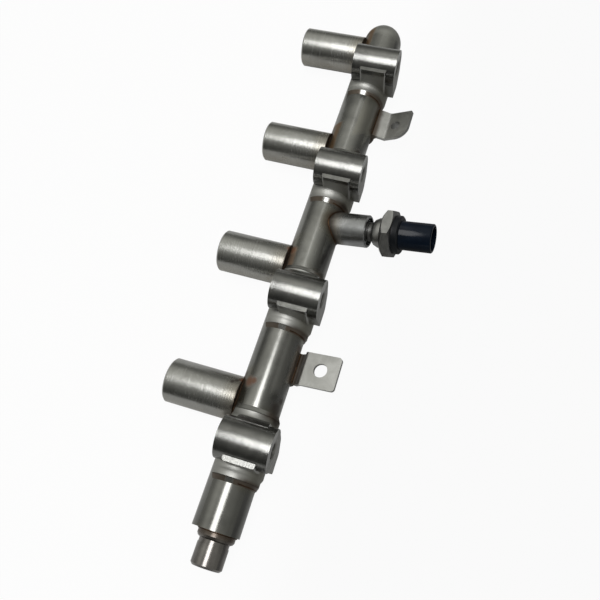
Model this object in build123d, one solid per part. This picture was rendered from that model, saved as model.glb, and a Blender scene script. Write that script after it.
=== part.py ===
"""High-pressure fuel rail for an inline four: one drawn tube, four injector cups, four bolt mounts,
a pressure sensor in its port, an inlet fitting and two stamped brackets.

Frame: X along the tube towards the inlet, Y away from the injector cups, +Z up with the bolt bosses
on top. The pieces are drawn about the tube's axis, midway between the second and third injector
cups, and written about the centre of the bolt row, in the plane of the bosses' seats.
All lengths are in millimetres.
"""
import math
import os

from build123d import *

# ---- driving dimensions -------------------------------------------------------------------------
pitch = 86.0            # injector to injector, and bolt to bolt
hex_af = 27.0           # spanner size of the pressure sensor
bolt_bore = 9.0         # clearance for an M8 bolt

tube_od = 0.3 * pitch
tube_bore = 16.0
near_overhang = 68.4    # last cup's axis to the tube's open end, at the inlet
far_overhang = 13.7     # first cup's axis to the centre of the closed hemispherical end
end_wall = 1.0          # that centre to the flat end of the bore

cup_od = tube_od - 0.5
cup_reach = 52.8        # tube axis to the cup's mouth
cup_root = 11.3         # tube axis to the cup's flat inner end
cup_bore = 18.6
cup_bore_depth = 24.0
cup_throat = 14.0       # the narrower bore below it
cup_throat_depth = 10.5
cup_feed = 3.0          # drilling from the tube into the cup
cup_bevel = 0.9
lead_in = 1.6           # widening of the mouth for the injector's seal ring

boss_x = 24.2           # bolt axis from the cup's axis, towards the inlet
boss_z = 19.3           # bolt axis above the tube's axis
boss_od = 22.8
boss_y0, boss_y1 = -9.2, 19.0
block_half = 12.0       # the block under the boss, along X
block_top = 25.9
block_y0, block_y1 = -3.4, 13.7
saddle_half = 18.1      # the sleeve round the tube, along X
saddle_wall = 1.3
saddle_belt = 2.2       # the thicker belt under the block
lug_foot = 1.0          # height of the end lug's lower edge above the tube's axis
lug_back = 13.5         # the end lug runs from here to boss_y1
belt_run = 2.0          # length of the cone from the sleeve up to the belt
sleeve_bevel = 0.7
block_slope = 4.2       # height of the slope on the block's far side
saddle_from, saddle_to = -43.0, 128.0   # degrees round the tube from +Z towards +Y

port_x = 11.56          # sensor axis along the tube
port_tilt = 12.4        # sensor axis above +Y, in degrees
port_od = 19.6
port_end = 31.8         # tube axis to the port's mouth
port_mouth_od = 16.6    # counterbore at the mouth
port_mouth_depth = 4.5
port_feed = 4.0         # drilling from the tube into the port
port_cone = 3.4         # length of the sealing cone at the port's foot

thread_od = 12.0
nose_depth = 14.8       # port's mouth to the top of the sealing cone
nose_od = 5.2           # the sensor's flat tip, below the sealing cone
nose_drilling = 2.4
neck_od = 10.3          # turned down between the thread and the shoulder
neck_gap = 2.2          # the neck shows this far above the port's mouth
shoulder_r = 8.9
shoulder_gap = 5.0      # port's mouth to the shoulder
hex_gap = 9.4           # port's mouth to the hexagon
hex_height = 6.9
crown_r = 10.2          # crimped rim on the hexagon, and the connector's flange on it
crown_height = 1.2
flange_height = 1.1
core_r = 6.4            # solid core of the sensor inside the hexagon
cavity_r, cavity_depth = 6.0, 4.0
collar_r = 11.4
collar_height = 3.8
stem_r = 8.7            # the connector inside the collar
shroud_r = 8.55
shroud_wall = 1.45
shroud_height = 18.8    # collar to the connector's open end
socket_depth = 13.7
blade_spacing, blade_width, blade_thickness, blade_length = 3.4, 2.3, 0.7, 7.0
key_width, key_depth = 2.4, 1.5
seam = 0.05             # clearance between the sensor's pieces

inlet_collar_od = 20.0
inlet_collar_length = 3.4
inlet_od = 16.7
inlet_offset = 1.1      # the nipple's axis sits off the tube's axis, towards +Y
inlet_length = 17.6
inlet_bevel = 1.1
inlet_groove = 0.3
inlet_groove_end = 6.4  # tube's end to the end of the groove behind the nipple
inlet_seat_od = 11.2    # mouth of the coned seat
inlet_seat_depth = 7.5
inlet_passage = 4.0
inlet_spigot = 14.0     # the plug's length inside the tube

sheet = 2.0             # bracket sheet
root_sink = 0.3         # the folded feet start this far inside the tube, and are cut to it
near_tab_offset = 26.7  # near bracket's middle, before the last cup's axis
near_tab_width, near_tab_reach = 19.8, 25.6
near_tilt = 14.0        # degrees
near_rise = 4.6         # tube to the bend
near_hole, near_hole_reach = 8.0, 14.8
far_tab_offset = 55.1   # far bracket's middle, past the first cup's axis
far_tab_width = 21.4
far_droop, far_lift = -14.0, 27.0       # degrees, before and after the bend
far_root, far_first, far_second = 1.6, 9.0, 15.4    # height of the root, then the two legs
far_hole, far_hole_reach = 6.4, 5.6
far_collar = 4.2        # how far the drawn collar stands out under the sheet
far_collar_wall = 1.3

tube_r, cup_r, boss_r, port_r = tube_od / 2, cup_od / 2, boss_od / 2, port_od / 2
cup_x = [(i - 1.5) * pitch for i in range(4)]
tube_near = cup_x[-1] + near_overhang
dome_centre = cup_x[0] - far_overhang


# ---- helpers ------------------------------------------------------------------------------------
def rounded_outline(points):
    """Closed face from (a, b) or (a, b, radius) corners; a radius rounds that corner."""
    count = len(points)
    spans = []
    for i, point in enumerate(points):
        here = Vector(point[0], point[1])
        radius = point[2] if len(point) > 2 else 0.0
        if radius <= 0:
            spans.append((here, here, None))
            continue
        before = Vector(*points[i - 1][:2]) - here
        after = Vector(*points[(i + 1) % count][:2]) - here
        u, v = before.normalized(), after.normalized()
        angle = math.acos(max(-1.0, min(1.0, u.dot(v))))
        reach = radius / math.tan(angle / 2)
        middle = (u + v).normalized()
        centre = here + middle * (radius / math.sin(angle / 2))
        spans.append((here + u * reach, here + v * reach, centre - middle * radius))
    edges = []
    for i, (start, end, middle) in enumerate(spans):
        if middle is not None:
            edges.append(ThreePointArc(start, middle, end))
        following = spans[(i + 1) % count][0]
        if (following - end).length > 1e-6:
            edges.append(Line(end, following))
    return make_face(Wire(edges))


def bevelled_outline(points):
    """Corners (a, b) as they are; a corner (a, b, bevel) is cut off that far along both its sides."""
    outline = []
    for i, point in enumerate(points):
        here = Vector(point[0], point[1])
        if len(point) < 3:
            outline.append((here.X, here.Y))
            continue
        for other in (points[i - 1], points[(i + 1) % len(points)]):
            cut = here + (Vector(other[0], other[1]) - here).normalized() * point[2]
            outline.append((cut.X, cut.Y))
    return outline


def turned(points, origin=(0, 0, 0), axis=(0, 0, 1)):
    """Solid of revolution: corners are (radius, station along the axis, optional bevel)."""
    spun = revolve(Plane.XZ * make_face(Polyline(*bevelled_outline(points), close=True)), Axis.Z)
    side = (1, 0, 0) if abs(axis[0]) < 0.9 else (0, 1, 0)
    return Plane(origin=origin, x_dir=side, z_dir=axis) * spun


def rod(radius, start, end):
    """Plain cylinder between two points."""
    a, b = Vector(*start), Vector(*end)
    length = (b - a).length
    direction = (b - a).normalized()
    return turned([(0, 0), (radius, 0), (radius, length), (0, length)], tuple(a), tuple(direction))


def block(x0, x1, y0, y1, z0, z1):
    return Pos((x0 + x1) / 2, (y0 + y1) / 2, (z0 + z1) / 2) * Box(x1 - x0, y1 - y0, z1 - z0)


def around(radius, degrees):
    """Point of the YZ plane on a circle round the tube, measured from +Z towards +Y."""
    turn = math.radians(degrees)
    return radius * math.sin(turn), radius * math.cos(turn)


def tube_sector(start, end, reach):
    """YZ wedge between two angles round the tube, as a face to extrude along X."""
    steps = [start + (end - start) * k / 6 for k in range(7)]
    return [(0.0, 0.0)] + [around(reach, step) for step in steps]


# ---- tube and inlet -----------------------------------------------------------------------------
def rail_tube():
    bore_end = dome_centre + end_wall
    body = rod(tube_r, (dome_centre, 0, 0), (tube_near, 0, 0))
    body += Pos(dome_centre, 0, 0) * Sphere(tube_r)
    body -= rod(tube_bore / 2, (bore_end, 0, 0), (tube_near + 1, 0, 0))
    for x in cup_x:
        body -= rod(cup_feed / 2, (x, -tube_r - 1, 0), (x, 0, 0))
    return body - rod(port_feed / 2, on_sensor_axis(0), on_sensor_axis(tube_r + 1))


def inlet_fitting():
    flange_r, nipple_r, passage_r = inlet_collar_od / 2, inlet_od / 2, inlet_passage / 2
    groove_r, seat_foot = nipple_r - inlet_groove, inlet_length - inlet_seat_depth
    plug = rod(tube_bore / 2, (tube_near - inlet_spigot, 0, 0), (tube_near, 0, 0))
    nipple = turned([(0, 0), (flange_r, 0), (flange_r, inlet_collar_length, 0.8),
                     (groove_r, inlet_collar_length + 1.0), (groove_r, inlet_groove_end),
                     (nipple_r, inlet_groove_end), (nipple_r, inlet_length, inlet_bevel),
                     (inlet_seat_od / 2, inlet_length), (passage_r, seat_foot),
                     (passage_r, inlet_passage / 2), (0, inlet_passage / 2)],
                    (tube_near, inlet_offset, 0), (1, 0, 0))
    drilling = rod(passage_r, (tube_near - inlet_spigot - 1, 0, 0), (tube_near + seat_foot / 2, 0, 0))
    return plug + nipple - drilling


# ---- injector cup -------------------------------------------------------------------------------
def injector_cup(x):
    bore_r, throat_r, feed_r = cup_bore / 2, cup_throat / 2, cup_feed / 2
    bore_floor = cup_reach - cup_bore_depth
    throat_floor = bore_floor - cup_throat_depth
    outline = [(feed_r, cup_root), (cup_r, cup_root), (cup_r, cup_reach, cup_bevel),
               (bore_r + lead_in, cup_reach), (bore_r, cup_reach - 2.5 * lead_in),
               (bore_r, bore_floor), (throat_r, bore_floor), (throat_r, throat_floor),
               (feed_r, throat_floor)]
    cup = turned(outline, (x, 0, 0), (0, -1, 0))
    return cup - rod(tube_r, (x - cup_r - 1, 0, 0), (x + cup_r + 1, 0, 0))


# ---- bolt mount ---------------------------------------------------------------------------------
def rail_mount(cup):
    x = cup + boss_x
    outer, belt = tube_r + saddle_wall, tube_r + saddle_belt
    belt_half = block_half + 1.2
    sleeve = turned([(0, -saddle_half), (outer, -saddle_half, sleeve_bevel),
                     (outer, -belt_half - belt_run), (belt, -belt_half), (belt, belt_half),
                     (outer, belt_half + belt_run), (outer, saddle_half, sleeve_bevel),
                     (0, saddle_half)], (x, 0, 0), (1, 0, 0))
    wedge = Plane.YZ * make_face(Polyline(*tube_sector(saddle_from, saddle_to, 2 * belt), close=True))
    wedge = Pos(x - saddle_half - 1, 0, 0) * extrude(wedge, amount=2 * saddle_half + 2)
    mount = sleeve & wedge
    mount += rod(boss_r, (x, boss_y0, boss_z), (x, boss_y1, boss_z))
    block_far = -block_half - 1.0
    profile = make_face(Polyline((block_half, 4.0), (block_half, block_top),
                                 (block_far + 3.6, block_top), (block_far, block_top - block_slope),
                                 (block_far, 4.0), close=True))
    body = Plane(origin=(x, block_y1, 0), x_dir=(1, 0, 0), z_dir=(0, -1, 0)) * extrude(
        profile, amount=block_y1 - block_y0)
    mount += fillet(body.edges().filter_by(Axis.Z), 1.2)
    lug = rounded_outline([(-boss_r, boss_z), (-8.8, lug_foot + 8.0, 6.0), (-2.0, lug_foot, 5.0),
                           (9.0, lug_foot, 1.6), (boss_r - 0.5, boss_z)])
    mount += Plane(origin=(x, boss_y1, 0), x_dir=(1, 0, 0), z_dir=(0, -1, 0)) * extrude(
        lug, amount=boss_y1 - lug_back)
    mount -= rod(tube_r, (x - 30, 0, 0), (x + 30, 0, 0))
    bore_r = bolt_bore / 2
    length = boss_y1 - boss_y0
    mount -= turned([(0, -1), (bore_r, -1), (bore_r, length - 0.6), (bore_r + 1.1, length + 0.5),
                     (0, length + 0.5)], (x, boss_y0, boss_z), (0, 1, 0))
    return mount - rod(cup_r, (cup, -cup_reach, 0), (cup, -cup_root, 0))


# ---- pressure sensor ----------------------------------------------------------------------------
def sensor_direction():
    tilt = math.radians(port_tilt)
    return (0.0, math.cos(tilt), math.sin(tilt))


def on_sensor_axis(station):
    direction = sensor_direction()
    return (port_x, direction[1] * station, direction[2] * station)


thread_top = port_end - port_mouth_depth
neck_top = port_end + neck_gap
shoulder_start = port_end + shoulder_gap
hex_start = port_end + hex_gap
hex_end = hex_start + hex_height
crown_top = hex_end + crown_height
flange_top = crown_top + seam + flange_height
collar_end = hex_end + collar_height
connector_end = collar_end + shroud_height
socket_floor = connector_end - socket_depth
nose_start = port_end - nose_depth


def sensor_port():
    bore_r, mouth_r, feed_r = thread_od / 2, port_mouth_od / 2, port_feed / 2
    outline = [(feed_r, 0), (port_r, 0), (port_r, port_end, 0.5), (mouth_r, port_end),
               (mouth_r, thread_top), (bore_r, thread_top), (bore_r, nose_start),
               (feed_r, nose_start - port_cone)]
    port = turned(outline, on_sensor_axis(0), sensor_direction())
    return port - rod(tube_r, (port_x - port_r - 1, 0, 0), (port_x + port_r + 1, 0, 0))


def sensor_body():
    """Nose seated on the port's cone, neck, shoulder, hexagon and crimped rim, turned from one bar."""
    thread_r, neck_r, nose_r, drilling_r = thread_od / 2, neck_od / 2, nose_od / 2, nose_drilling / 2
    nose_tip = nose_start - port_cone * (thread_r - nose_r) / (thread_r - port_feed / 2)
    outline = [(drilling_r, nose_tip), (nose_r, nose_tip), (thread_r, nose_start),
               (thread_r, thread_top), (neck_r, thread_top), (neck_r, neck_top),
               (shoulder_r, shoulder_start, 1.6),
               (shoulder_r, hex_start + 0.5), (core_r, hex_start + 0.5), (core_r, hex_end - 0.5),
               (crown_r, hex_end - 0.5), (crown_r, crown_top), (cavity_r, crown_top),
               (cavity_r, hex_end - cavity_depth), (drilling_r, hex_end - cavity_depth)]
    body = turned(outline, on_sensor_axis(0), sensor_direction())
    flats = RegularPolygon(radius=hex_af / 2, side_count=6, major_radius=False)
    prism = extrude(flats, amount=hex_height)
    prism -= extrude(Circle((core_r + cavity_r) / 2), amount=hex_height)
    tip = hex_af / math.sqrt(3)
    rounding = revolve(Plane.XZ * make_face(Polyline(
        (0, 0), (hex_af / 2 - 1.4, 0), (tip, 2.6), (tip, hex_height - 1.2),
        (hex_af / 2 - 0.2, hex_height), (0, hex_height), close=True)), Axis.Z)
    frame = Plane(origin=on_sensor_axis(hex_start), x_dir=(1, 0, 0), z_dir=sensor_direction())
    return body + frame * (prism & rounding)


def sensor_collar():
    outline = [(crown_r + seam, hex_end), (collar_r, hex_end), (collar_r, collar_end, 0.7),
               (stem_r + seam, collar_end), (stem_r + seam, flange_top + seam),
               (crown_r + seam, flange_top + seam)]
    return turned(outline, on_sensor_axis(0), sensor_direction())


def sensor_connector():
    """Flanged shroud, open at the plug's end, with its floor slotted for the three blades."""
    flange, socket_r = crown_top + seam, shroud_r - shroud_wall
    outline = [(0, flange), (crown_r, flange), (crown_r, flange_top), (stem_r, flange_top),
               (stem_r, collar_end), (shroud_r, collar_end + 2 * (stem_r - shroud_r)),
               (shroud_r, connector_end, 0.5), (socket_r, connector_end), (socket_r, socket_floor),
               (0, socket_floor)]
    shell = turned(outline, on_sensor_axis(0), sensor_direction())
    for offset in blade_offsets:
        shell -= blade(offset, flange - 1, socket_floor + 1)
    frame = Plane(origin=on_sensor_axis(socket_floor), x_dir=(1, 0, 0), z_dir=sensor_direction())
    key_length = socket_depth - 1.0
    return shell + frame * Pos(0, socket_r - key_depth / 2 + seam, key_length / 2) * Box(
        key_width, key_depth + 2 * seam, key_length)


blade_offsets = (-blade_spacing, 0.0, blade_spacing)


def blade(offset, start, end):
    """Flat bar along the sensor's axis, between two stations."""
    frame = Plane(origin=on_sensor_axis((start + end) / 2), x_dir=(1, 0, 0), z_dir=sensor_direction())
    return frame * Pos(offset, 0, 0) * Box(blade_thickness, blade_width, end - start)


def sensor_terminal(offset):
    pin = blade(offset, crown_top + seam, socket_floor + blade_length)
    return chamfer(pin.faces().sort_by(Axis.Y)[-1].edges(), 0.25)


# ---- brackets -----------------------------------------------------------------------------------
def bracket(section, x, width, bends, corners, hole_at, tilt, hole_r, collar, relief):
    """Folded sheet: a YZ section run along X, its bends and tip corners rounded, one hole.

    bends: (y, z, radius); corners: (side along X, radius); collar: drawn depth under the sheet;
    relief: how much of the foot is cut back at the far side.
    """
    plate = Pos(x - width / 2, 0, 0) * extrude(Plane.YZ * make_face(Polyline(*section, close=True)),
                                               amount=width)
    for y, z, radius in bends:
        line = [e for e in plate.edges() if abs(e.center().Y - y) < 0.02 and abs(e.center().Z - z) < 0.02]
        plate = fillet(line, radius)
    for side, radius in corners:
        tip = max(p[0] for p in section) - 1.2
        edge = [e for e in plate.edges() if e.center().Y > tip and (e.center().X - x) * side > width / 3
                and abs(e.tangent_at(0).X) < 0.2 and e.length < sheet + 0.3]
        plate = fillet(edge, radius)
    frame = Plane(origin=(x + hole_at[0], hole_at[1], hole_at[2]), x_dir=(1, 0, 0),
                  z_dir=(0, -math.sin(tilt), math.cos(tilt)))
    if collar:
        plate += frame * Pos(0, 0, -sheet / 2 - collar / 2) * Cylinder(hole_r + far_collar_wall,
                                                                       sheet + collar)
    plate -= frame * Cylinder(hole_r, 8 * sheet)
    if relief:
        left = x - width / 2
        plate -= block(left - 1, left + relief, 0, tube_r + 3.4, -tube_od, tube_r)
    return plate - rod(tube_r, (x - width, 0, 0), (x + width, 0, 0))


def along(start, tilt, reach):
    return start[0] + reach * math.cos(tilt), start[1] + reach * math.sin(tilt)


def near_bracket():
    tilt = math.radians(near_tilt)
    under = (math.sin(tilt) * sheet, -math.cos(tilt) * sheet)
    foot = [around(tube_r - root_sink, 101 + k * 9.0) for k in range(6)]
    back = [around(tube_r + sheet, 105 + k * 9.2) for k in range(6)]
    valley = (tube_r + 1.7, -1.9)
    rise = along((tube_r, 0.0), tilt, near_rise)
    tip = along((tube_r, 0.0), tilt, near_tab_reach)
    low_tip = (tip[0] + under[0], tip[1] + under[1])
    low_rise = (rise[0] + under[0] + 0.6, rise[1] + under[1] + 0.1)
    low_valley = (valley[0] + 1.6, valley[1] - 2.2)
    section = [foot[0], valley, rise, tip, low_tip, low_rise, low_valley, *back, *reversed(foot[1:])]
    hole = along((tube_r, 0.0), tilt, near_hole_reach)
    return bracket(section, cup_x[-1] - near_tab_offset, near_tab_width, [(*valley, 1.4), (*rise, 2.4)],
                   [(-1, 2.0), (1, 2.0)], (-0.5, *hole), tilt, near_hole / 2, 0, 1.3)


def far_bracket():
    droop, lift = math.radians(far_droop), math.radians(far_lift)
    foot = [around(tube_r - root_sink, 84 + k * 9.5) for k in range(6)]
    back = [around(tube_r + sheet, 100 + k * 8.5) for k in range(5)]
    root = (tube_r - root_sink, far_root)
    bend = along(root, droop, far_first)
    tip = along(bend, lift, far_second)
    low_tip = (tip[0] + sheet * math.sin(lift), tip[1] - sheet * math.cos(lift))
    low_bend = (bend[0] + 0.25, bend[1] - 2.1)
    low_root = (tube_r + sheet + 1.2, root[1] - 3.2)
    section = [root, bend, tip, low_tip, low_bend, low_root, *back, *reversed(foot[1:])]
    hole = along(bend, lift, far_hole_reach)
    return bracket(section, cup_x[0] + far_tab_offset, far_tab_width, [(*bend, 3.5)],
                   [(-1, 1.2), (1, 8.5)], (0.2, *hole), lift, far_hole / 2, far_collar, 0)


# ---- write --------------------------------------------------------------------------------------
def all_parts():
    parts = {"rail_tube": rail_tube(), "inlet_fitting": inlet_fitting()}
    for i, x in enumerate(cup_x, 1):
        parts[f"injector_cup_{i}"] = injector_cup(x)
        parts[f"rail_mount_{i}"] = rail_mount(x)
    parts["sensor_port"] = sensor_port()
    parts["sensor_body"] = sensor_body()
    parts["sensor_collar"] = sensor_collar()
    parts["sensor_connector"] = sensor_connector()
    for i, offset in enumerate(blade_offsets, 1):
        parts[f"sensor_terminal_{i}"] = sensor_terminal(offset)
    parts["near_bracket"] = near_bracket()
    parts["far_bracket"] = far_bracket()
    return parts


os.makedirs("parts", exist_ok=True)
for name, shape in all_parts().items():
    solids = shape.solids()
    print(name, len(solids), round(sum(s.volume for s in solids)), flush=True)
    export_step(Pos(-boss_x, -boss_y0, -boss_z) * shape, f"parts/{name}.step")
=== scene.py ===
import bpy
import bmesh
import math
from mathutils import Matrix, Vector


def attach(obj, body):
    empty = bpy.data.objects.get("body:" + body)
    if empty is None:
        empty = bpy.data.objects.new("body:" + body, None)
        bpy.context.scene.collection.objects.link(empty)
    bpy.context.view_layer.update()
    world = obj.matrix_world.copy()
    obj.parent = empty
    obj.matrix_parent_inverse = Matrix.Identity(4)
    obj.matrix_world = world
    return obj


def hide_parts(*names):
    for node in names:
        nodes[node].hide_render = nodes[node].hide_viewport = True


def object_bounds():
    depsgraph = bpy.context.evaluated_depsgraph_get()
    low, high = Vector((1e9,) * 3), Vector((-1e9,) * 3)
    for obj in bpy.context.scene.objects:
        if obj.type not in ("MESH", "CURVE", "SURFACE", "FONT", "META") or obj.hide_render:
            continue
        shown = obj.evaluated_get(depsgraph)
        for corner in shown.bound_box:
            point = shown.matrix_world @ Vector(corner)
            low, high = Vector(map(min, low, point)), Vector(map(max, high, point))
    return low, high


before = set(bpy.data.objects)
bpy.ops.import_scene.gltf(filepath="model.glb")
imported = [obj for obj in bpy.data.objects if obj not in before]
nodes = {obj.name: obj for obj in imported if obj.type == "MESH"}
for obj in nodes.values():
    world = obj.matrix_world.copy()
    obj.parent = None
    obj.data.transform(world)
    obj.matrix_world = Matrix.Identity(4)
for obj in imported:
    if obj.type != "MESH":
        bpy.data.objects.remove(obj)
cadBounds = [list(corner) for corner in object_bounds()]
print("frame loaded:", len(nodes), "nodes")

# millimetres about the tube's axis, midway between the second and third cup
rail = {
    "datum": (24.2, -9.2, 19.3),    # middle of the bolt row, which is the frame's origin
    "pitch": 86.0,
    "tubeRadius": 12.9,
    "cupRadius": 12.65,
    "cupRoot": 11.3,                # where a cup's flat end leaves the tube
    "bossShift": 24.2,              # from a cup's axis to its mount's boss
    "bossRise": 19.3,
    "bossRadius": 11.4,
    "saddleHalf": 18.1,
    "saddleTurn": (-43.0, 128.0),   # degrees round the tube from its top
    "portX": 11.56,
    "portTilt": 12.4,
    "portRadius": 9.8,
    "openEnd": 197.4,
    "feet": ((102.3, 9.9), (-73.9, 10.7)),    # middle and half width of each bracket's foot
}
cupPlaces = [(i - 1.5) * rail["pitch"] for i in range(4)]


def inRow(x, y, z):
    return Vector([v - start for v, start in zip((x, y, z), rail["datum"])]) / 1000


def aroundTube(radius, degrees):
    turn = math.radians(degrees)
    return radius * math.sin(turn), radius * math.cos(turn)


def alongSensor(station, side=0.0, rise=0.0):
    tilt = math.radians(rail["portTilt"])
    return (rail["portX"] + side, station * math.cos(tilt) - rise * math.sin(tilt),
            station * math.sin(tilt) + rise * math.cos(tilt))


# camera: degrees, and millimetres in the part's own place
view = {"eye": (193.2, 72.9, 327.4), "turn": 118.22, "rise": 65.65, "roll": 11.76,
        "lens": 36.57, "sensor": 36.0, "clip": (0.01, 20.0)}


def makeCamera():
    turn, rise, roll = (math.radians(view[k]) for k in ("turn", "rise", "roll"))
    back = Vector((math.sin(turn) * math.cos(rise), -math.cos(turn) * math.cos(rise),
                   math.sin(rise)))
    level = Vector((math.cos(turn), math.sin(turn), 0))
    upright = back.cross(level)
    right = level * math.cos(roll) - upright * math.sin(roll)
    up = level * math.sin(roll) + upright * math.cos(roll)
    camera = bpy.data.objects.new("camera", bpy.data.cameras.new("camera"))
    camera.data.sensor_fit = "AUTO"
    camera.data.sensor_width = view["sensor"]
    camera.data.lens = view["lens"]
    camera.data.clip_start, camera.data.clip_end = view["clip"]
    pose = Matrix((right, up, back)).transposed().to_4x4()
    pose.translation = inRow(*view["eye"])
    camera.matrix_world = pose
    bpy.context.scene.collection.objects.link(camera)
    bpy.context.scene.camera = camera


makeCamera()
print("camera placed")


class Wire:
    # a node's socket that can stand in an expression
    def __init__(self, web, socket):
        self.web = web
        self.socket = socket

    def maths(self, operation, *others):
        return self.web.node("ShaderNodeMath", {"operation": operation},
                             dict(enumerate((self, *others))))

    def __add__(self, other):
        return self.maths("ADD", other)

    def __mul__(self, other):
        return self.maths("MULTIPLY", other)

    def __sub__(self, other):
        return self.maths("SUBTRACT", other)

    def __rsub__(self, other):
        return self.web.node("ShaderNodeMath", {"operation": "SUBTRACT"}, {0: other, 1: self})

    __radd__ = __add__
    __rmul__ = __mul__

    def __neg__(self):
        return self * -1.0

    def __abs__(self):
        return self.maths("ABSOLUTE")

    def most(self, other):
        return self.maths("MAXIMUM", other)

    def least(self, other):
        return self.maths("MINIMUM", other)

    def reach(self, other):
        return (self * self + other * other).maths("SQRT")

    def wrap(self, length):
        return self.maths("FLOORED_MODULO", length)

    def ease(self, low, high):
        return self.web.node("ShaderNodeMapRange", {"interpolation_type": "SMOOTHSTEP"},
                             {"Value": self, "From Min": low, "From Max": high})

    def fade(self, low, high):
        return 1.0 - self.ease(low, high)


class Web:
    # adds nodes to a tree, with their settings first and then their sockets
    def __init__(self, tree):
        self.tree = tree
        tree.nodes.clear()

    def node(self, kind, settings, inputs, output=0):
        made = self.tree.nodes.new(kind)
        for key, value in settings.items():
            setattr(made, key, value)
        for key, value in inputs.items():
            if isinstance(value, Wire):
                self.tree.links.new(value.socket, made.inputs[key])
            else:
                made.inputs[key].default_value = value
        return Wire(self, made.outputs[output])

    def end(self, kind, wire):
        self.tree.links.new(wire.socket, self.tree.nodes.new(kind).inputs[0])


class Finish(Web):
    def __init__(self, name):
        self.material = bpy.data.materials.new(name)
        self.material.use_nodes = True
        super().__init__(self.material.node_tree)
        self.here = self.node("ShaderNodeMapping", {}, {
            "Vector": self.node("ShaderNodeTexCoord", {}, {}, "Object"),
            "Location": rail["datum"], "Scale": (1000.0, 1000.0, 1000.0)})

    def split(self, vector):
        return [self.node("ShaderNodeSeparateXYZ", {}, {0: vector}, axis) for axis in "XYZ"]

    def join(self, x, y, z):
        return self.node("ShaderNodeCombineXYZ", {}, {"X": x, "Y": y, "Z": z})

    def noise(self, vector, scale, detail=3.0, rough=0.55, warp=0.0):
        return self.node("ShaderNodeTexNoise", {}, {
            "Vector": vector, "Scale": scale, "Detail": detail, "Roughness": rough,
            "Distortion": warp})

    def blend(self, mask, low, high):
        return self.node("ShaderNodeMix", {"data_type": "RGBA"}, {0: mask, 6: low, 7: high}, 2)

    def bump(self, height, distance):
        return self.node("ShaderNodeBump", {}, {"Height": height, "Distance": distance,
                                                "Strength": 1.0})

    def surface(self, shader):
        self.end("ShaderNodeOutputMaterial", shader)
        return self.material


def opaque(colour):
    return (*colour, 1.0)


def grey(level):
    return (level, level, level, 1.0)


# how far each place is from the joints that were heated
def cupJoint(x, y):
    cupRel = abs(x.wrap(rail["pitch"]) - rail["pitch"] / 2)
    return (cupRel - rail["cupRadius"]).most(y + rail["cupRoot"])


def fromBoss(x):
    return (x - rail["bossShift"]).wrap(rail["pitch"]) - rail["pitch"] / 2


def saddleEnd(x):
    return abs(fromBoss(x)) - rail["saddleHalf"]


def tubeSkin(y, z):
    return y.reach(z) - rail["tubeRadius"]


def portJoint(x, y, z):
    tilt = math.radians(rail["portTilt"])
    across = z * math.cos(tilt) - y * math.sin(tilt)
    return ((x - rail["portX"]).reach(across) - rail["portRadius"]).most(tubeSkin(y, z))


# a row of wear holds its colour, its strength, the metal it hides and the roughness it adds
browns = {"heat": (0.060, 0.040, 0.024), "straw": (0.21, 0.175, 0.120),
          "olive": (0.15, 0.140, 0.095), "amber": (0.14, 0.072, 0.024), "tan": (0.27, 0.18, 0.12),
          "rust": (0.115, 0.042, 0.014), "scale": (0.022, 0.015, 0.010)}
stain = {"core": 0.25, "ragged": 0.16}


def spotMask(x, y, z, ragged, spots):
    # x, y, z and radius of each spot, their strength, and how much of it wanders
    places, strength, wander = spots
    total = None
    for px, py, pz, size in places:
        far = (x - px).reach(y - py).reach(z - pz)
        mask = far.fade(size * stain["core"], size)
        total = mask if total is None else total.most(mask)
    return total * (strength + ragged * wander)


weave = {"patchEdge": (0.32, 0.68), "patchRough": 0.08, "fleckScale": 3.1,
         "fleckEdge": (0.62, 0.78), "fleckStrength": 0.5, "fleckShade": 0.5, "grainHeight": 0.6,
         "fleckHeight": 0.3, "lineRough": 0.12, "roughEnds": (0.08, 0.95)}


def toolMarks(finish, x, y, z, stretch, scale, rough, onSensor=False):
    if onSensor:
        tilt = math.radians(rail["portTilt"])
        y = y * math.cos(tilt) + z * math.sin(tilt)
    stretched = [axis * size for axis, size in zip((x, y, z), stretch)]
    return finish.noise(finish.join(*stretched), scale, 3.0, rough)


def steel(name, look, worn=None):
    finish = Finish(name)
    x, y, z = finish.split(finish.here)
    patch = finish.noise(finish.here, look["patch"], 4.0, 0.6, 0.6)
    grain = finish.noise(finish.here, look["grain"], 2.0, 0.7)
    fleck = finish.noise(finish.here, look["grain"] * weave["fleckScale"], 1.0, 0.5)
    colour = finish.blend(patch.ease(*weave["patchEdge"]), opaque(look["dark"]),
                          opaque(look["light"]))
    colour = finish.blend(fleck.ease(*weave["fleckEdge"]) * weave["fleckStrength"], colour,
                          opaque([c * weave["fleckShade"] for c in look["dark"]]))
    rough = look["rough"] + (grain - 0.5) * look["uneven"] + (patch - 0.5) * weave["patchRough"]
    height = grain * weave["grainHeight"] + fleck * weave["fleckHeight"]
    if "marks" in look:
        lines = toolMarks(finish, x, y, z, *look["marks"])
        height = height + lines * look["lines"]
        rough = rough + (lines - 0.5) * weave["lineRough"]
    metal = None
    if worn:
        ragged = (finish.noise(finish.here, stain["ragged"], 4.0, 0.65, 0.5) - 0.5) * 2.0
        for mark, mask in worn(finish, look, x, y, z, ragged).items():
            tint, strength, dull, matt = look["wear"][mark]
            mask = mask * strength
            colour = finish.blend(mask, colour, opaque(tint))
            rough = rough + mask * matt
            loss = mask * dull
            metal = 1.0 - loss if metal is None else metal * (1.0 - loss)
    low, high = weave["roughEnds"]
    return finish.surface(finish.node("ShaderNodeBsdfPrincipled", {}, {
        "Base Color": colour, "Roughness": rough.most(low).least(high),
        "Metallic": 1.0 if metal is None else metal, "Specular IOR Level": 0.5,
        "Normal": finish.bump(height, look["relief"])}))


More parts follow.
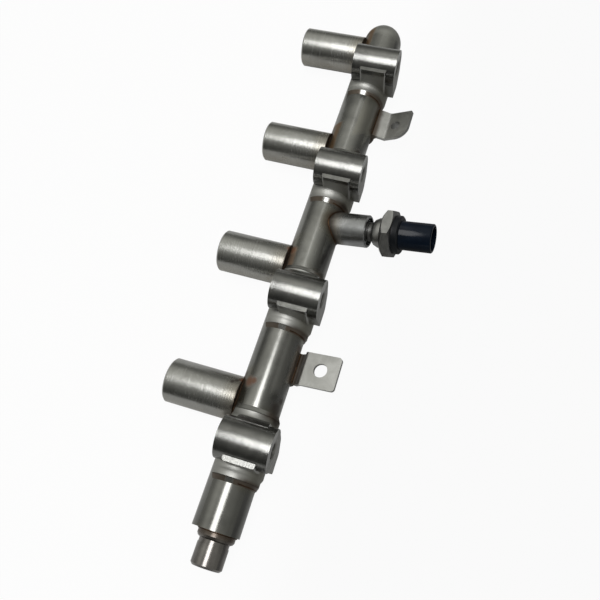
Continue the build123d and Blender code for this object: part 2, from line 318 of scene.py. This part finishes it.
tubeLook = {
    "dark": (0.20, 0.20, 0.19), "light": (0.28, 0.28, 0.265), "patch": 0.05, "grain": 1.6,
    "rough": 0.235, "uneven": 0.07, "relief": 0.000007, "lines": 0.25,
    "marks": ((0.03, 1.4, 1.4), 1.6, 0.6),
    "ragged": {"cup": 1.1, "saddle": 1.2, "port": 1.6, "closedEnd": 1.5, "rubbed": 0.5},
    "rubbedSlant": (0.8, 0.03),
    # millimetres over which each mark of wear comes or goes
    "cup": (1.5, 8.0), "saddle": (1.6, 6.0), "port": (0.6, 7.0), "cupCore": (0.9, 2.4),
    "portCore": (0.0, 3.6), "bandStart": (1.2, 2.2), "bandEnd": (4.0, 6.4), "foot": (0.0, 3.0),
    # millimetres across the tube
    "saddleSide": (2.0, 9.0), "portSide": (0.0, 4.0), "footSide": (10.4, 12.4),
    "scuffSide": (4.6, 7.0), "scuffEdge": (9.4, 11.0), "rubbedSide": (0.6, 2.0),
    # millimetres along the tube
    "tanMiddle": 44.0, "tanHalf": (7.0, 10.5), "amberEnd": (-32.0, -26.0),
    "inletEnd": (150.0, 185.0), "closedEnd": (-143.0, -138.0),
    "rubbedMiddle": -66.0, "rubbedHalf": (15.0, 19.0), "scuffMiddle": 104.0,
    "scuffHalf": (15.0, 22.0), "drawn": (0.6, 0.74),
    "wear": {
        "closedEnd": ((0.34, 0.34, 0.32), 1.0, 0.0, 0.22),
        # a lighter straw patch on the tube's +Y side between the first and second cups: a painted
        # reflection with a straw tint
        "rubbed": ((0.31, 0.305, 0.27), 0.8, 0.0, 0.2),
        # a lighter, slightly rougher band on the tube's +Y side between the third and fourth cups:
        # a painted reflection
        "scuffed": ((0.36, 0.36, 0.34), 0.7, 0.0, 0.16),
        # painted shade: the tube darker towards the inlet end
        "inletEnd": ((0.09, 0.09, 0.085), 0.35, 0.0, -0.1),
        "drawn": ((0.10, 0.10, 0.095), 0.35, 0.0, 0.08),
        "halo": (browns["olive"], 0.5, 0.12, 0.1),
        "tan": (browns["tan"], 0.8, 0.4, 0.2),
        "amber": (browns["amber"], 0.8, 0.4, 0.2),
        "core": (browns["heat"], 0.85, 0.4, 0.1),
        "foot": (browns["heat"], 0.9, 0.5, 0.1),
        "burnt": (browns["scale"], 1.0, 0.6, 0.12),
        "rust": (browns["rust"], 1.0, 0.9, 0.4),
    },
    "rust": ([(120.2, -7.0, 10.9, 4.6), (119.4, -4.6, 12.0, 3.0), (36.3, -8.9, 9.3, 3.8)],
             0.85, 0.3),
    "burnt": ([(130.4, 11.2, 6.6, 7.5), (135.4, 12.7, 2.4, 7.0), (134.6, -8.4, 9.8, 3.0),
               (50.6, -9.8, 8.2, 3.0), (-41.2, 9.7, 8.5, 4.2), (-86.2, 8.8, 9.4, 3.2),
               (48.0, 11.6, 5.6, 4.6), (0.5, 10.5, 7.5, 5.5), (125.0, 12.0, 4.4, 3.4)], 0.85, 0.2),
}


def wornTube(finish, look, x, y, z, ragged):
    wave = {place: ragged * size for place, size in look["ragged"].items()}
    cup = cupJoint(x, y) + wave["cup"]
    saddle = saddleEnd(x) + wave["saddle"]
    port = portJoint(x, y, z) + wave["port"]
    portSide = y.ease(*look["portSide"])
    nearSaddle = saddle.fade(*look["saddle"]) * y.ease(*look["saddleSide"])
    band = cup.ease(*look["bandStart"]) * cup.fade(*look["bandEnd"])
    # painted reflection: the lighter straw patch on the tube's +Y side between the first and
    # second cups
    rubbedHalf = abs(x - look["rubbedMiddle"] + y * look["rubbedSlant"][0])
    rubbedSide = y + x * look["rubbedSlant"][1] + wave["rubbed"]
    feet = [(abs(x - middle) - half + ragged).fade(*look["foot"]) for middle, half in rail["feet"]]
    streaks = finish.noise(finish.join(x * 0.35, y, z), 0.9, 5.0, 0.75)
    return {
        "closedEnd": (x + wave["closedEnd"]).fade(*look["closedEnd"]),
        "rubbed": rubbedHalf.fade(*look["rubbedHalf"]) * rubbedSide.ease(*look["rubbedSide"]),
        # painted reflection: the lighter band on the tube's +Y side between the third and fourth
        # cups
        "scuffed": abs(x - look["scuffMiddle"]).fade(*look["scuffHalf"])
        * y.ease(*look["scuffSide"]) * y.fade(*look["scuffEdge"]),
        # painted shade that darkens the tube towards the inlet end
        "inletEnd": x.ease(*look["inletEnd"]),
        "drawn": streaks.ease(*look["drawn"]),
        "halo": cup.fade(*look["cup"]).most(nearSaddle).most(port.fade(*look["port"]) * portSide),
        "tan": band * abs(x - look["tanMiddle"]).fade(*look["tanHalf"]),
        "amber": band * x.fade(*look["amberEnd"]),
        "core": cup.fade(*look["cupCore"]).most(port.fade(*look["portCore"]) * portSide),
        "foot": feet[0].most(feet[1]) * y.ease(*look["footSide"]),
        "burnt": spotMask(x, y, z, ragged, look["burnt"]),
        "rust": spotMask(x, y, z, ragged, look["rust"]),
    }


cupLook = {
    "dark": (0.30, 0.30, 0.285), "light": (0.375, 0.375, 0.36), "patch": 0.05, "grain": 1.5,
    "rough": 0.25, "uneven": 0.07, "relief": 0.000006, "lines": 7.0,
    "marks": ((0.04, 1.6, 0.04), 1.5, 0.7),
    "ragged": 1.4, "halo": (0.6, 12.0), "core": (0.1, 0.9), "lowerSide": (44.0, 54.0),
    "lowerRise": (-4.0, 8.0), "blotch": (0.55, 0.72), "blotchRise": (2.0, 9.0),
    "wear": {
        "lower": (browns["straw"], 0.35, 0.1, 0.08),
        "blotches": (browns["straw"], 0.3, 0.1, 0.12),
        "halo": (browns["straw"], 0.4, 0.15, 0.06),
        "core": (browns["heat"], 0.5, 0.3, 0.1),
        "burnt": (browns["scale"], 1.0, 0.5, 0.1),
        "rust": (browns["rust"], 1.0, 0.9, 0.4),
    },
    "rust": ([(119.4, -10.6, 9.4, 3.4), (36.8, -10.6, 10.2, 3.4)], 0.85, 0.3),
    "burnt": ([(119.8, -11.4, 9.0, 2.8), (120.4, -12.2, 9.2, 2.4), (121.6, -14.0, 10.0, 2.3),
               (122.8, -15.8, 11.0, 2.1), (136.0, -11.6, 10.2, 2.6), (140.0, -12.9, 6.2, 4.4),
               (51.8, -12.0, 9.2, 3.4), (-123.1, -12.4, 11.2, 1.6), (-34.2, -12.4, 8.6, 2.6)],
              0.8, 0.3),
}


def wornCup(finish, look, x, y, z, ragged):
    away = -y - rail["cupRoot"] + ragged * look["ragged"]
    clouds = finish.noise(finish.here, 0.22, 4.0, 0.7)
    return {
        "lower": z.fade(*look["lowerRise"]) * x.wrap(rail["pitch"]).ease(*look["lowerSide"]),
        "blotches": clouds.ease(*look["blotch"]) * z.fade(*look["blotchRise"]),
        "halo": away.fade(*look["halo"]),
        "core": away.fade(*look["core"]),
        "burnt": spotMask(x, y, z, ragged, look["burnt"]),
        "rust": spotMask(x, y, z, ragged, look["rust"]),
    }


mountLook = {
    "dark": (0.165, 0.165, 0.16), "light": (0.235, 0.235, 0.225), "patch": 0.07, "grain": 1.5,
    "rough": 0.22, "uneven": 0.14, "relief": 0.000022, "lines": 2.2, "marks": cupLook["marks"],
    "ragged": 0.8, "turned": (0.12, 0.5), "saddleRise": (21.0, 24.0), "smoke": (0.0, 7.0),
    "smokeSide": (6.0, 13.0), "edge": (-3.0, -0.3), "edgeHeight": (1.4, 2.4),
    "edgeSide": (3.0, 9.0), "root": (0.0, 3.0), "pits": (0.62, 0.78),
    "wear": {
        # the saddle is rough, and its lighter colour is painted light that lifts its shade
        "saddle": ((0.36, 0.36, 0.345), 1.0, 0.0, 0.26),
        "pits": ((0.10, 0.10, 0.09), 0.4, 0.0, 0.1),
        "smoke": (browns["olive"], 0.6, 0.1, 0.1),
        "edge": (browns["heat"], 0.8, 0.4, 0.1),
        "root": (browns["heat"], 0.6, 0.4, 0.1),
        "burnt": (browns["scale"], 1.0, 0.5, 0.1),
    },
    "burnt": ([(131.0, 12.2, 7.6, 6.0), (135.9, 13.2, 5.3, 6.5), (-40.5, 10.2, 9.6, 3.4),
               (-0.5, 11.2, 7.4, 5.0), (46.5, 12.0, 6.0, 4.0), (134.6, -8.4, 9.8, 2.6),
               (50.6, -9.8, 8.2, 2.6)], 0.85, 0.0),
}


def wornMount(finish, look, x, y, z, ragged):
    # the boss is turned, the saddle under it is left rough; the saddle's lighter colour is painted
    # light that lifts its shade
    boss = fromBoss(x).reach(z - rail["bossRise"])
    ends = saddleEnd(x) + ragged * look["ragged"]
    low = tubeSkin(y, z)
    return {
        "saddle": abs(boss - rail["bossRadius"]).ease(*look["turned"])
        * z.fade(*look["saddleRise"]),
        "pits": finish.noise(finish.here, 0.5, 5.0, 0.7).ease(*look["pits"]),
        "smoke": low.fade(*look["smoke"]) * y.ease(*look["smokeSide"]),
        "edge": ends.ease(*look["edge"]) * low.fade(*look["edgeHeight"])
        * y.ease(*look["edgeSide"]),
        "root": cupJoint(x, y).fade(*look["root"]),
        "burnt": spotMask(x, y, z, ragged, look["burnt"]),
    }


portLook = {
    "dark": (0.31, 0.315, 0.32), "light": (0.42, 0.425, 0.43), "patch": 0.08, "grain": 1.8,
    "rough": 0.25, "uneven": 0.08, "relief": 0.000006, "lines": 9.0,
    "marks": ((0.04, 3.0, 0.04), 1.5, 0.7, True),
    "ragged": 1.5, "halo": (1.0, 8.0), "burnt": (0.2, 4.5),
    "wear": {"halo": (browns["straw"], 0.6, 0.2, 0.1), "burnt": (browns["scale"], 0.95, 0.5, 0.1)},
}


def wornPort(finish, look, x, y, z, ragged):
    away = tubeSkin(y, z) + ragged * look["ragged"]
    return {"halo": away.fade(*look["halo"]), "burnt": away.fade(*look["burnt"])}


sensorLook = {
    "dark": (0.26, 0.26, 0.255), "light": (0.36, 0.36, 0.35), "patch": 0.12, "grain": 2.4,
    "rough": 0.33, "uneven": 0.18, "relief": 0.000022, "lines": 0.4, "marks": portLook["marks"],
}

inletLook = {
    "dark": (0.15, 0.14, 0.135), "light": (0.22, 0.21, 0.20), "patch": 0.10, "grain": 1.6,
    "rough": 0.20, "uneven": 0.08, "relief": 0.000010, "lines": 0.5,
    "marks": ((3.0, 0.04, 0.04), 1.5, 0.7),
    "ragged": 0.8, "root": (0.6, 5.5),
    "wear": {"root": (browns["heat"], 0.8, 0.4, 0.1)},
}


def wornInlet(finish, look, x, y, z, ragged):
    return {"root": (x - rail["openEnd"] + ragged * look["ragged"]).fade(*look["root"])}


bracketLook = {
    "dark": (0.42, 0.42, 0.405), "light": (0.53, 0.53, 0.515), "patch": 0.09, "grain": 2.0,
    "rough": 0.40, "uneven": 0.10, "relief": 0.000014, "lines": 0.35,
    "marks": ((1.6, 0.05, 0.05), 1.4, 0.6),
    "ragged": 0.9, "root": (1.5, 4.6),
    "wear": {"root": (browns["heat"], 0.9, 0.45, 0.1)},
}


def wornBracket(finish, look, x, y, z, ragged):
    return {"root": (tubeSkin(y, z) + ragged * look["ragged"]).fade(*look["root"])}


beadLook = {
    "dark": (0.040, 0.024, 0.015), "light": (0.10, 0.060, 0.034), "patch": 0.25, "grain": 2.0,
    "rough": 0.42, "uneven": 0.2, "relief": 0.00004,
}

filletLook = {
    "dark": (0.24, 0.24, 0.23), "light": (0.32, 0.32, 0.31), "patch": 0.2, "grain": 1.4,
    "rough": 0.20, "uneven": 0.10, "relief": 0.000012,
    "ragged": 0.8, "bright": 0.9, "brightHalf": (1.3, 2.6), "farSide": (6.0, 10.0),
    "wear": {
        # the fillets on the closed end's side are matte like the saddle, and their lighter colour
        # is painted light
        "closedSide": ((0.34, 0.34, 0.32), 1.0, 0.0, 0.22),
        "heated": (browns["heat"], 0.85, 0.4, 0.15),
        "burnt": (browns["scale"], 1.0, 0.5, 0.1),
    },
    "burnt": (mountLook["burnt"][0], 0.8, 0.3),
}


def wornFillet(finish, look, x, y, z, ragged):
    inletSide = fromBoss(x).ease(0.0, 1.0)
    # painted light: the closed end's side of each fillet is coloured lighter
    closedSide = 1.0 - inletSide
    off = (abs(y - look["bright"]) + ragged * look["ragged"]).ease(*look["brightHalf"])
    return {
        "closedSide": closedSide,
        "heated": (inletSide * off).most(closedSide * y.ease(*look["farSide"])),
        "burnt": spotMask(x, y, z, ragged, look["burnt"]),
    }


threadLook = {
    "dark": (0.10, 0.10, 0.10), "light": (0.18, 0.18, 0.175), "patch": 0.3, "grain": 2.0,
    "rough": 0.36, "uneven": 0.1, "relief": 0.00001,
}
terminalLook = {
    "dark": (0.45, 0.43, 0.36), "light": (0.62, 0.60, 0.52), "patch": 0.05, "grain": 1.5,
    "rough": 0.25, "uneven": 0.07, "relief": 0.000006,
}

connectorLook = {"dark": (0.0020, 0.0045, 0.010), "light": (0.0040, 0.0080, 0.016),
                 "rough": 0.17, "shine": 0.15, "relief": 0.000001}
collarLook = {"dark": (0.004, 0.005, 0.007), "light": (0.010, 0.011, 0.014),
              "rough": 0.34, "shine": 0.25, "relief": 0.000003}
mould = {"cloud": 0.12, "cloudEdge": (0.3, 0.7), "cloudRough": 0.12, "grain": 2.6,
         "grainRough": 0.06}


def moulded(name, look):
    finish = Finish(name)
    cloud = finish.noise(finish.here, mould["cloud"], 4.0, 0.6)
    grain = finish.noise(finish.here, mould["grain"], 2.0, 0.6)
    colour = finish.blend(cloud.ease(*mould["cloudEdge"]), opaque(look["dark"]),
                          opaque(look["light"]))
    unevenness = (cloud - 0.5) * mould["cloudRough"] + (grain - 0.5) * mould["grainRough"]
    return finish.surface(finish.node("ShaderNodeBsdfPrincipled", {}, {
        "Base Color": colour, "Roughness": look["rough"] + unevenness,
        "Specular IOR Level": look["shine"], "Normal": finish.bump(grain, look["relief"])}))


finishes = {
    "tube": steel("tubeSteel", tubeLook, wornTube),
    "cup": steel("cupSteel", cupLook, wornCup),
    "mount": steel("mountSteel", mountLook, wornMount),
    "port": steel("portSteel", portLook, wornPort),
    "sensor": steel("sensorSteel", sensorLook),
    "inlet": steel("inletSteel", inletLook, wornInlet),
    "bracket": steel("bracketSteel", bracketLook, wornBracket),
    "bead": steel("brazeBead", beadLook),
    "fillet": steel("brazeFillet", filletLook, wornFillet),
    "thread": steel("threadSteel", threadLook),
    "terminal": steel("terminalTin", terminalLook),
    "collar": moulded("collarPlastic", collarLook),
    "connector": moulded("connectorPlastic", connectorLook),
}
print("finishes made:", len(finishes))


# each node is shown by a welded, smoothly shaded copy of itself
dress = {"weld": 1e-6, "crease": 28.0}
pieceFinish = {
    "rail_tube": ("tube", "tube_steel"),
    "inlet_fitting": ("inlet", "inlet_steel"),
    "sensor_port": ("port", "port_steel"),
    "sensor_body": ("sensor", "sensor_steel"),
    "sensor_collar": ("collar", "collar_plastic"),
    "sensor_connector": ("connector", "connector_plastic"),
    "near_bracket": ("bracket", "bracket_steel"),
    "far_bracket": ("bracket", "bracket_steel"),
}
for i in range(1, 5):
    pieceFinish[f"injector_cup_{i}"] = ("cup", "cup_steel")
    pieceFinish[f"rail_mount_{i}"] = ("mount", "mount_steel")
for i in range(1, 4):
    pieceFinish[f"sensor_terminal_{i}"] = ("terminal", "terminal_tin")


def newPiece(name, mesh):
    piece = bpy.data.objects.new(name, mesh)
    bpy.context.scene.collection.objects.link(piece)
    return piece


def adopt(piece, finish, slotName):
    piece.data.materials.clear()
    piece.data.materials.append(finishes[finish])
    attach(piece, "root")


def dressNode(node):
    words = node.split("_")
    name = words[0] + "".join(word.capitalize() for word in words[1:])
    piece = newPiece(name, nodes[node].data.copy())
    weld = bmesh.new()
    weld.from_mesh(piece.data)
    bmesh.ops.remove_doubles(weld, verts=weld.verts, dist=dress["weld"])
    weld.to_mesh(piece.data)
    weld.free()
    if "custom_normal" in piece.data.attributes:
        piece.data.attributes.remove(piece.data.attributes["custom_normal"])
    piece.data.shade_smooth()
    piece.data.set_sharp_from_angle(angle=math.radians(dress["crease"]))
    adopt(piece, *pieceFinish[node])
    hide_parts(node)


for node in nodes:
    dressNode(node)
print("nodes dressed:", len(nodes))


# braze beads follow the lines where pieces meet
bead = {
    "radius": 0.00055, "cupRadius": 0.00034, "wobble": 0.00030, "step": 0.0012, "sides": 8,
    "seed": 4.0, "wobbleScale": 240.0, "swellScale": 330.0, "swell": (0.55, 0.9),
    "cupCount": 96, "portCount": 80, "saddleCount": 56, "footCount": 16, "collarCount": 64,
    "saddleStart": 24.0, "saddleOut": 1.2, "saddleHigh": 0.15, "footHigh": 0.2,
    "collar": (0.15, 10.1, 1.1),    # out from the open end, radius and shift across
    # middle, width and degrees round the tube of each line along a bracket's foot
    "feet": ((102.9, 18.0, 97.0), (102.3, 19.0, 147.0), (-73.9, 20.6, 83.0),
             (-73.9, 20.6, 134.0)),
}


def ring(count):
    return [2 * math.pi * k / count for k in range(count)]


def cupSeam(cup):
    # round the cup where it meets the tube, straight where its flat end leaves the tube
    tube, cupRadius = rail["tubeRadius"], rail["cupRadius"]
    high = math.sqrt(tube ** 2 - rail["cupRoot"] ** 2)
    points = []
    for turn in ring(bead["cupCount"]):
        z = max(-high, min(high, cupRadius * math.sin(turn)))
        points.append((cup + cupRadius * math.cos(turn), -math.sqrt(tube ** 2 - z * z), z))
    return points, True


def portSeam():
    points = []
    for turn in ring(bead["portCount"]):
        rise = rail["portRadius"] * math.sin(turn)
        station = math.sqrt(rail["tubeRadius"] ** 2 - rise * rise)
        points.append(alongSensor(station, rail["portRadius"] * math.cos(turn), rise))
    return points, True


def saddleSeam(boss):
    # only on the side that faces the inlet
    start, end = bead["saddleStart"], rail["saddleTurn"][1]
    x = boss + rail["saddleHalf"] + bead["saddleOut"]
    turns = [start + (end - start) * k / bead["saddleCount"]
             for k in range(bead["saddleCount"] + 1)]
    return [(x, *aroundTube(rail["tubeRadius"] + bead["saddleHigh"], turn))
            for turn in turns], False


def footSeam(middle, width, degrees):
    y, z = aroundTube(rail["tubeRadius"] + bead["footHigh"], degrees)
    return [(middle - width / 2 + width * k / bead["footCount"], y, z)
            for k in range(bead["footCount"] + 1)], False


def collarSeam():
    out, radius, shift = bead["collar"]
    return [(rail["openEnd"] + out, shift + radius * math.cos(turn), radius * math.sin(turn))
            for turn in ring(bead["collarCount"])], True


def pathMesh(name, paths):
    verts, edges = [], []
    for points, closed in paths:
        first = len(verts)
        verts += [inRow(*p) for p in points]
        edges += [(first + k, first + k + 1) for k in range(len(points) - 1)]
        if closed:
            edges.append((len(verts) - 1, first))
    mesh = bpy.data.meshes.new(name)
    mesh.from_pydata(verts, edges, [])
    return newPiece(name, mesh)


class Grower(Web):
    # builds a Geometry Nodes tree with named inputs
    def __init__(self, name, sizes):
        super().__init__(bpy.data.node_groups.new(name, "GeometryNodeTree"))
        kinds = {float: "NodeSocketFloat", int: "NodeSocketInt"}
        face = self.tree.interface
        face.new_socket("Geometry", in_out="INPUT", socket_type="NodeSocketGeometry")
        for label, value in sizes.items():
            socket = face.new_socket(label, in_out="INPUT", socket_type=kinds[type(value)])
            socket.default_value = value
        face.new_socket("Geometry", in_out="OUTPUT", socket_type="NodeSocketGeometry")
        self.given = self.tree.nodes.new("NodeGroupInput")

    def size(self, label):
        return Wire(self, self.given.outputs[label])

    def grown(self, shape, material):
        solid = self.node("GeometryNodeRealizeInstances", {}, {0: shape})
        painted = self.node("GeometryNodeSetMaterial", {}, {"Geometry": solid,
                                                            "Material": material})
        self.end("NodeGroupOutput", painted)
        return self.tree


def growPiece(piece, tree, finish, slotName, pose=None):
    piece.modifiers.new("grow", "NODES").node_group = tree
    evaluated = piece.evaluated_get(bpy.context.evaluated_depsgraph_get())
    mesh = bpy.data.meshes.new_from_object(evaluated)
    piece.modifiers.clear()
    piece.data = mesh
    if pose:
        mesh.transform(pose)
    adopt(piece, finish, slotName)


def beadTree(radius):
    grow = Grower("beadTree", {"Radius": radius, "Wobble": bead["wobble"], "Step": bead["step"],
                               "Sides": bead["sides"], "Seed": bead["seed"]})
    curve = grow.node("GeometryNodeMeshToCurve", {}, {"Mesh": grow.size("Geometry")})
    curve = grow.node("GeometryNodeResampleCurve", {"mode": "LENGTH"},
                      {"Curve": curve, "Length": grow.size("Step")})
    ripple = grow.node("ShaderNodeTexNoise", {"noise_dimensions": "4D"}, {
        "W": grow.size("Seed"), "Scale": bead["wobbleScale"], "Detail": 2.0}, 1)
    shift = grow.node("ShaderNodeVectorMath", {"operation": "SUBTRACT"},
                      {0: ripple, 1: (0.5, 0.5, 0.5)})
    shift = grow.node("ShaderNodeVectorMath", {"operation": "SCALE"},
                      {0: shift, "Scale": grow.size("Wobble")})
    curve = grow.node("GeometryNodeSetPosition", {}, {"Geometry": curve, "Offset": shift})
    swell = grow.node("ShaderNodeTexNoise", {"noise_dimensions": "4D"}, {
        "W": grow.size("Seed"), "Scale": bead["swellScale"], "Detail": 1.0})
    least, more = bead["swell"]
    curve = grow.node("GeometryNodeSetCurveRadius", {},
                      {"Curve": curve, "Radius": swell * more + least})
    profile = grow.node("GeometryNodeCurvePrimitiveCircle", {}, {
        "Resolution": grow.size("Sides"), "Radius": grow.size("Radius")})
    line = grow.node("GeometryNodeCurveToMesh", {}, {"Curve": curve, "Profile Curve": profile,
                                                     "Fill Caps": True})
    return grow.grown(line, finishes["bead"])


seams = [portSeam(), collarSeam()]
seams += [saddleSeam(cup + rail["bossShift"]) for cup in cupPlaces]
seams += [footSeam(*foot) for foot in bead["feet"]]
cupSeams = [cupSeam(cup) for cup in cupPlaces]
growPiece(pathMesh("brazeBeads", seams), beadTree(bead["radius"]), "bead", "mount_steel")
growPiece(pathMesh("cupBeads", cupSeams), beadTree(bead["cupRadius"]), "bead", "cup_steel")
print("braze beads laid:", len(seams) + len(cupSeams))


# thin cones of braze that run from each saddle's end down to the tube
fillet = {"run": 2.2, "rise": 1.3, "toe": 0.02, "under": 0.3, "sunk": 0.4, "steps": 80,
          "crease": 30.0}


def makeFillets():
    start, end = rail["saddleTurn"]
    steps = fillet["steps"]
    profile = ((-fillet["under"], fillet["rise"]), (fillet["run"], fillet["toe"]),
               (fillet["run"], -fillet["sunk"]), (-fillet["under"], -fillet["sunk"]))
    shape = bmesh.new()
    for foot, side in [(cup + rail["bossShift"], side) for cup in cupPlaces for side in (-1, 1)]:
        rings = []
        for k in range(steps + 1):
            turn = start + (end - start) * k / steps
            rings.append([shape.verts.new(inRow(
                foot + side * (rail["saddleHalf"] + out),
                *aroundTube(rail["tubeRadius"] + high, turn))) for out, high in profile])
        for one, two in zip(rings, rings[1:]):
            for k in range(4):
                shape.faces.new((one[k], one[(k + 1) % 4], two[(k + 1) % 4], two[k]))
        shape.faces.new(rings[0])
        shape.faces.new(rings[-1][::-1])
    bmesh.ops.recalc_face_normals(shape, faces=shape.faces)
    mesh = bpy.data.meshes.new("saddleFillets")
    shape.to_mesh(mesh)
    shape.free()
    mesh.shade_smooth()
    mesh.set_sharp_from_angle(angle=math.radians(fillet["crease"]))
    adopt(newPiece("saddleFillets", mesh), "fillet", "mount_steel")


makeFillets()
print("saddle fillets laid:", 2 * len(cupPlaces))


# the screw thread that shows between the port and the sensor's shoulder
thread = {"pitch": 0.0015, "turns": 4.5, "crest": 0.0059, "depth": 0.00055, "from": 27.8,
          "steps": 44, "sides": 4}


def threadTree():
    grow = Grower("threadTree", {"Turns": thread["turns"], "Pitch": thread["pitch"],
                                 "Crest radius": thread["crest"], "Depth": thread["depth"],
                                 "Steps": thread["steps"]})
    middle = grow.size("Crest radius") - grow.size("Depth")
    helix = grow.node("GeometryNodeCurveSpiral", {}, {
        "Resolution": grow.size("Steps"), "Rotations": grow.size("Turns"),
        "Start Radius": middle, "End Radius": middle,
        "Height": grow.size("Turns") * grow.size("Pitch")})
    ridge = grow.node("GeometryNodeCurvePrimitiveCircle", {}, {
        "Resolution": thread["sides"], "Radius": grow.size("Depth")})
    coil = grow.node("GeometryNodeCurveToMesh", {}, {"Curve": helix, "Profile Curve": ridge,
                                                     "Fill Caps": True})
    return grow.grown(coil, finishes["thread"])


lean = Matrix.Rotation(math.radians(rail["portTilt"] - 90.0), 4, "X")
growPiece(pathMesh("sensorThread", []), threadTree(), "thread", "sensor_steel",
          Matrix.Translation(inRow(*alongSensor(thread["from"]))) @ lean)
print("thread cut")


# floor, dome and lamps
studio = {
    "floor": 0.62, "floorAway": 0.12, "floorFade": (0.0, 60.0), "floorSize": 8.0, "lift": 0.95,
    "mirrored": 0.10,
    "domeRadius": 2.2, "horizon": 0.08, "overhead": 0.16, "nearSide": 0.13, "highSide": 0.40,
    "corners": 0.28, "warmth": 0.93,
    "side": (-0.75, -0.65), "sideEdge": (-0.25, 0.45), "highEdge": (0.28, 0.85),
    "cornerFrom": (-0.36, -0.20), "cornerEdge": (0.22, 0.5),
    # size in metres, middle in millimetres and power in watts
    "lamps": [((0.98, 0.53), (210.0, -60.0, 1300.0), 8.8),
              ((1.05, 0.20), (-835.0, -60.0, 1300.0), 0.40)],
    "sky": 0.5,
}


def makeFloor(level):
    finish = Finish("paperFloor")
    camera, glossy, clear = [finish.node("ShaderNodeLightPath", {}, {}, ray) for ray in (
        "Is Camera Ray", "Is Glossy Ray", "Is Transmission Ray")]
    seen = (camera.most(clear) * studio["lift"]).most(glossy * studio["mirrored"])
    # the paper is painted darker towards +Y: a painted shade that the metal shows in its
    # reflections
    y = finish.split(finish.here)[1]
    shade = finish.blend(y.ease(*studio["floorFade"]), grey(studio["floor"]),
                         grey(studio["floorAway"]))
    paper = finish.node("ShaderNodeBsdfDiffuse", {}, {"Color": shade})
    bright = finish.node("ShaderNodeEmission", {}, {"Color": grey(1.0), "Strength": 1.0})
    bpy.ops.mesh.primitive_plane_add(size=studio["floorSize"], location=(0, 0, level))
    floor = bpy.context.object
    floor.name = "floor"
    floor.data.materials.append(finish.surface(
        finish.node("ShaderNodeMixShader", {}, {0: seen, 1: paper, 2: bright})))


def makeDome(level):
    # dim at the horizon, brighter above and in four corners,
    # most on the side that the cups and the closed end face
    finish = Finish("domeLight")
    x, y, z = finish.split(finish.node("ShaderNodeVectorMath", {"operation": "NORMALIZE"}, {
        0: finish.node("ShaderNodeTexCoord", {}, {}, "Object")}))
    side = (x * studio["side"][0] + y * studio["side"][1]).ease(*studio["sideEdge"])
    high = z.ease(*studio["highEdge"]) * (side * studio["highSide"] + studio["overhead"])
    cornerX, cornerY = (abs(axis - start).ease(*studio["cornerEdge"])
                        for axis, start in zip((x, y), studio["cornerFrom"]))
    light = (studio["horizon"] + side * studio["nearSide"] + high
             + cornerX * cornerY * studio["corners"])
    colour = finish.join(light, light, light * studio["warmth"])
    bpy.ops.mesh.primitive_uv_sphere_add(segments=48, ring_count=24, location=(0, 0, level),
                                         radius=studio["domeRadius"])
    dome = bpy.context.object
    dome.name = "dome"
    dome.data.materials.append(finish.surface(
        finish.node("ShaderNodeEmission", {}, {"Color": colour, "Strength": 1.0})))
    dome.visible_camera = False


def makeLamp(size, place, power):
    lamp = newPiece("softbox", bpy.data.lights.new("softbox", "AREA"))
    lamp.data.shape = "ELLIPSE"
    lamp.data.size, lamp.data.size_y = size
    lamp.data.energy = power
    lamp.location = inRow(*place)
    lamp.visible_camera = False


def makeSky():
    world = bpy.data.worlds.new("sky")
    bpy.context.scene.world = world
    world.use_nodes = True
    sky = Web(world.node_tree)
    camera, glossy, clear = [sky.node("ShaderNodeLightPath", {}, {}, ray) for ray in (
        "Is Camera Ray", "Is Glossy Ray", "Is Transmission Ray")]
    plain, white = (sky.node("ShaderNodeBackground", {}, {"Color": grey(level)})
                    for level in (studio["sky"], 1.0))
    sky.end("ShaderNodeOutputWorld", sky.node("ShaderNodeMixShader", {}, {
        0: camera.most(glossy).most(clear), 1: plain, 2: white}))


floorLevel = cadBounds[0][2]
makeFloor(floorLevel)
makeDome(floorLevel)
for lamp in studio["lamps"]:
    makeLamp(*lamp)
makeSky()
bpy.context.scene.view_settings.view_transform = "Standard"
print("studio lit")
